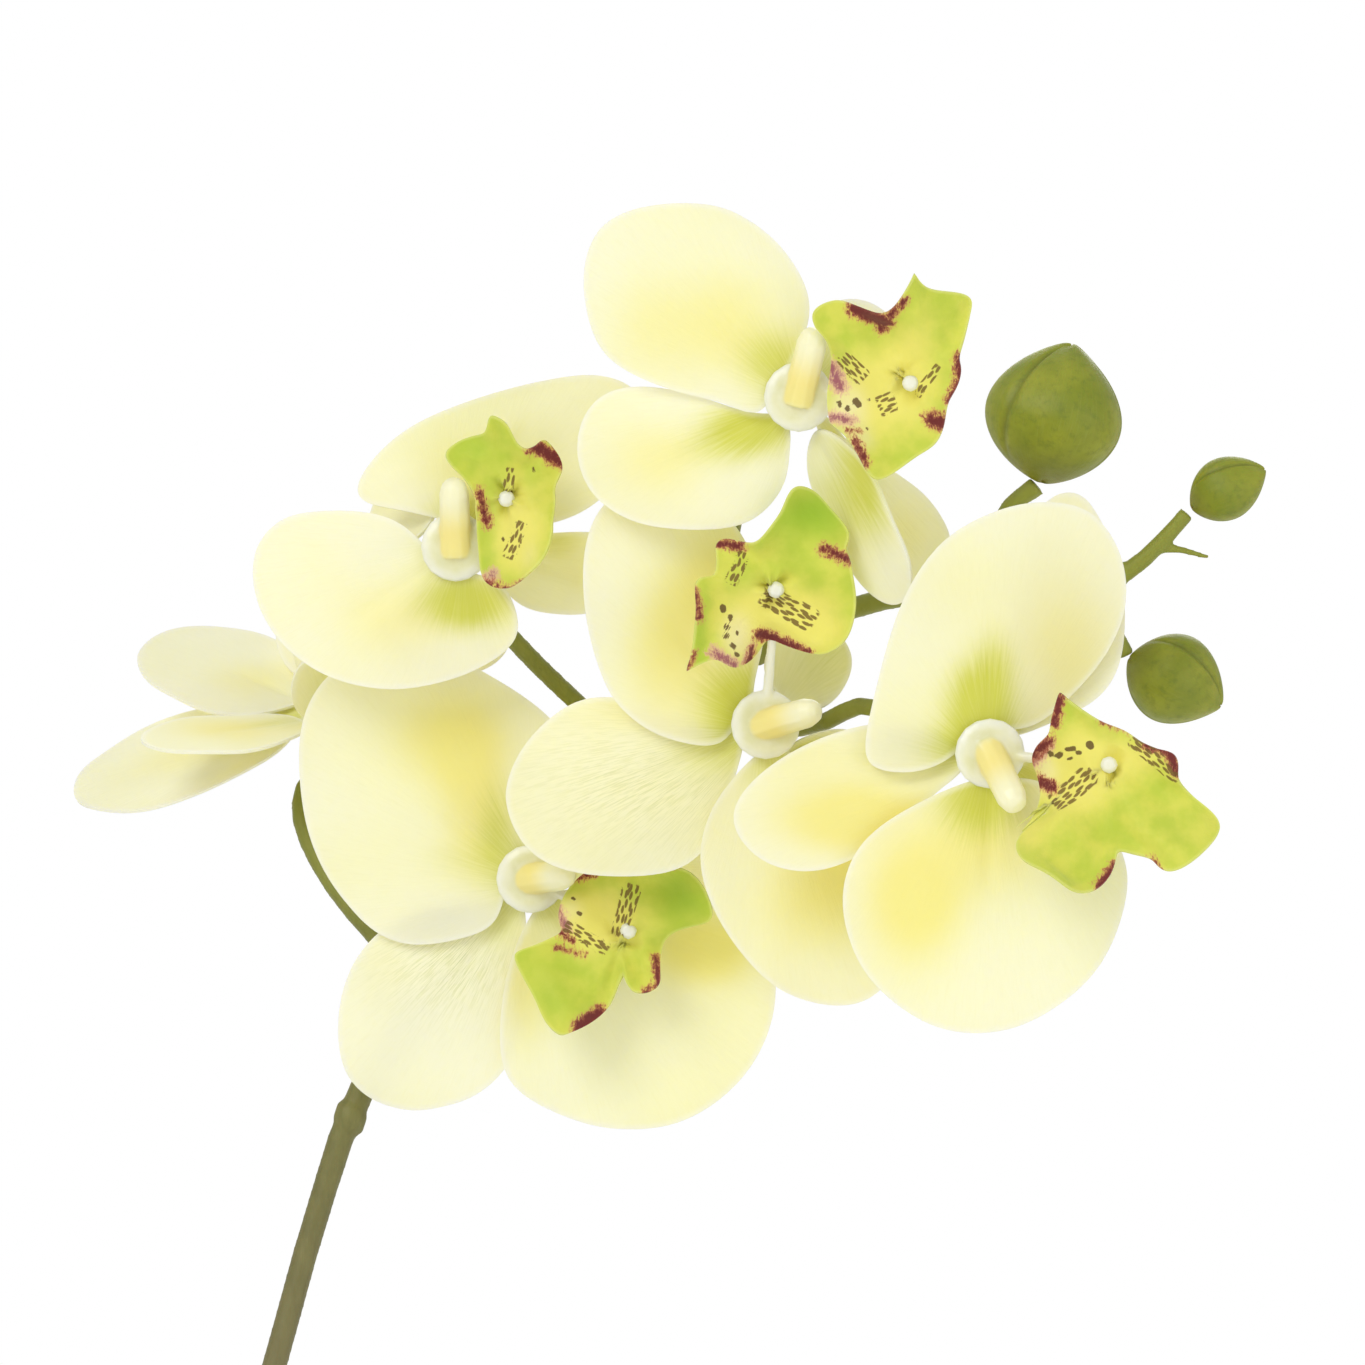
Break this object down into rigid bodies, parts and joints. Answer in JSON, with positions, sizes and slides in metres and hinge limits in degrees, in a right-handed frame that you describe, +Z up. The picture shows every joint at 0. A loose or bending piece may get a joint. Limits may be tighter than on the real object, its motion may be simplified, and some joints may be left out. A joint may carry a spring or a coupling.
{
  "type": "potted orchid",
  "caption": "Potted moth orchid: an arching spray of cream flowers with speckled yellow-green lips over strap leaves in a plain round pot.",
  "frame": {"origin": "centre of the pot's flat foot, where it rests", "axes": "+Z up along the plant, -Y the way the flowers face, +X the way the spray arches"},
  "size_m": [0.3743, 0.1805, 0.5269],
  "materials": {
    "petals": "matte, translucent cream yellow",
    "lips": "matte yellow-green with dark red marks",
    "columns": "waxy, translucent ivory",
    "stem": "satin olive green",
    "buds": "satin mottled olive green",
    "leaves": "waxy mid green",
    "pot": "satin white glaze",
    "medium": "rough bark chips with moss"
  },
  "bodies": {
    "root": {"flower_1_upper_petal": "petals", "flower_1_lower_petal": "petals", "flower_1_dorsal_sepal": "petals", "flower_1_upper_sepal": "petals", "flower_1_lower_sepal": "petals", "flower_1_lip": "lips", "flower_1_column": "columns", "flower_2_upper_petal": "petals", "flower_2_lower_petal": "petals", "flower_2_dorsal_sepal": "petals", "flower_2_right_sepal": "petals", "flower_2_upper_sepal": "petals", "flower_2_lip": "lips", "flower_2_column": "columns", "flower_3_upper_petal": "petals", "flower_3_lower_petal": "petals", "flower_3_dorsal_sepal": "petals", "flower_3_right_sepal": "petals", "flower_3_lower_sepal": "petals", "flower_3_lip": "lips", "flower_3_column": "columns", "flower_4_upper_petal": "petals", "flower_4_lower_petal": "petals", "flower_4_right_sepal": "petals", "flower_4_lower_sepal": "petals", "flower_4_dorsal_sepal": "petals", "flower_4_lip": "lips", "flower_4_column": "columns", "flower_5_upper_petal": "petals", "flower_5_lower_petal": "petals", "flower_5_dorsal_sepal": "petals", "flower_5_upper_sepal": "petals", "flower_5_right_sepal": "petals", "flower_5_lip": "lips", "flower_5_column": "columns", "flower_6_left_petal": "petals", "flower_6_front_sepal": "petals", "flower_6_rear_sepal": "petals", "flower_6_right_petal": "petals", "flower_6_right_sepal": "petals", "flower_6_lip": "lips", "flower_6_column": "columns", "flower_stem": "stem", "bud_1": "buds", "bud_2": "buds", "bud_3": "buds", "leaf_1": "leaves", "leaf_2": "leaves", "leaf_3": "leaves", "leaf_4": "leaves", "leaf_5": "leaves", "pot": "pot", "growing_medium": "medium"}
  },
  "joints": []
}
